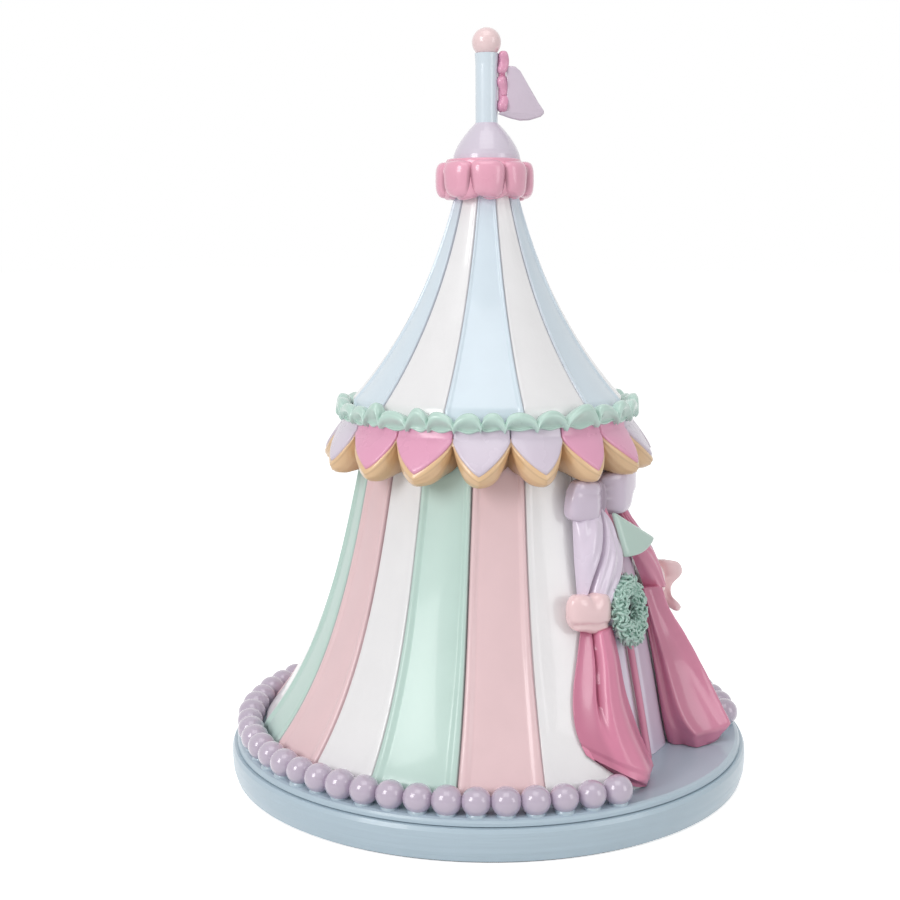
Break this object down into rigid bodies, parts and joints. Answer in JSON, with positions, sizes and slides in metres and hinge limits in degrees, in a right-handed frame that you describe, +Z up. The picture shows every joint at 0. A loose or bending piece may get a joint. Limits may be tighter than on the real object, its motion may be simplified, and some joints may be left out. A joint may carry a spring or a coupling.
{
  "type": "music box",
  "caption": "Free-standing wind-up music box: a striped circus tent with valance, curtains and flag turns on a round base that holds a comb movement and a winding key.",
  "frame": {"origin": "centre of the felt ring's underside, on the table, on the turntable's axis", "axes": "+Z up along the turntable's axis; -Y towards the doorway, the front; +X to the right of someone who faces the doorway"},
  "size_m": [0.1518, 0.1518, 0.2132],
  "materials": {
    "base_blue": "painted resin, gloss",
    "felt": "felt",
    "nylon": "natural",
    "bead_lilac": "painted resin, gloss",
    "tent_stripes": "painted resin, gloss: white, rose and mint stripes",
    "valance_tan": "painted resin, gloss, brushed",
    "petal_lilac": "painted resin, gloss",
    "petal_pink": "painted resin, gloss",
    "frill_mint": "painted resin, gloss",
    "roof_stripes": "painted resin, gloss: blue and white panels",
    "collar_pink": "painted resin, gloss",
    "cap_lilac": "painted resin, gloss",
    "pole_blue": "painted resin, gloss",
    "ball_pink": "painted resin, gloss",
    "flag_lilac": "painted resin, gloss",
    "flag_pink": "painted resin, gloss",
    "flap_lilac": "painted resin, gloss",
    "trim_pink": "painted resin, gloss",
    "wreath_mint": "painted resin, gloss",
    "drape_lilac": "painted resin, gloss",
    "curtain_pink": "painted resin, gloss",
    "tie_salmon": "painted resin, gloss",
    "bow_lilac": "painted resin, gloss",
    "pennant_mint": "painted resin, gloss",
    "black_plastic": "moulded",
    "steel": "bright",
    "plated_steel": "nickel plated",
    "brass": "turned",
    "zinc": "die-cast zinc, matt",
    "white_plastic": "moulded"
  },
  "bodies": {
    "base": {"base_housing": "base_blue", "felt_ring": "felt", "glide_ring": "nylon", "bedplate": "zinc", "deck_screws": "steel", "click_spring": "steel", "cylinder_brackets": "zinc", "comb_riser": "zinc", "comb": "steel", "comb_screws": "steel", "governor_frame": "zinc"},
    "turntable": {"platform": "base_blue", "beads": "bead_lilac", "tent_wall": "tent_stripes", "valance": "valance_tan", "petals_lilac": "petal_lilac", "petals_pink": "petal_pink", "frill": "frill_mint", "roof": "roof_stripes", "collar": "collar_pink", "top_cap": "cap_lilac", "flagpole": "pole_blue", "ball_finial": "ball_pink", "flag": "flag_lilac", "flag_hoist": "flag_pink", "door_flap_left": "flap_lilac", "door_flap_right": "flap_lilac", "door_trim": "trim_pink", "wreath": "wreath_mint", "drape_left": "drape_lilac", "drape_right": "drape_lilac", "skirt_left": "curtain_pink", "skirt_right": "curtain_pink", "tie_left": "tie_salmon", "tie_right": "tie_salmon", "bow_left": "bow_lilac", "bow_right": "bow_lilac", "bow_knot": "bow_lilac", "door_pennant": "pennant_mint", "drive_plate": "black_plastic", "plate_screws": "steel", "drive_hub": "brass", "lock_nut": "steel", "spindle": "steel", "spring_barrel": "brass", "barrel_cover": "brass", "mainspring": "steel"},
    "winder": {"winding_arbor": "steel", "ratchet_wheel": "steel", "winding_key": "plated_steel"},
    "cylinder": {"music_cylinder": "brass", "cylinder_pins": "steel", "cylinder_arbor": "steel", "cylinder_wheel": "brass"},
    "governor": {"governor_wheel": "brass"},
    "fan": {"worm": "steel", "fan": "white_plastic"}
  },
  "joints": [
    {"name": "turntable_spin", "type": "hinge", "parent": "base", "child": "turntable", "pos_m": [0, 0, 0.0112], "axis": [0, 0, 1], "continuous": true},
    {"name": "key_wind", "type": "hinge", "parent": "base", "child": "winder", "pos_m": [0, 0, 0.0185], "axis": [0, 0, 1], "range_deg": [0, 1800], "deforming": ["click_spring", "mainspring"]},
    {"name": "cylinder_spin", "type": "hinge", "parent": "base", "child": "cylinder", "pos_m": [0.0136, 0, 0.03655], "axis": [1, 0, 0], "continuous": true},
    {"name": "governor_spin", "type": "hinge", "parent": "base", "child": "governor", "pos_m": [0.0305, 0.00784, 0.03202], "axis": [1, 0, 0], "continuous": true},
    {"name": "fan_spin", "type": "hinge", "parent": "base", "child": "fan", "pos_m": [0.0341, 0.01389, 0.03202], "axis": [0, 0, 1], "continuous": true}
  ],
  "couplings": [
    {"joint": "cylinder_spin", "follows": "turntable_spin", "ratio": 4},
    {"joint": "governor_spin", "follows": "turntable_spin", "ratio": -16},
    {"joint": "fan_spin", "follows": "turntable_spin", "ratio": 384}
  ]
}
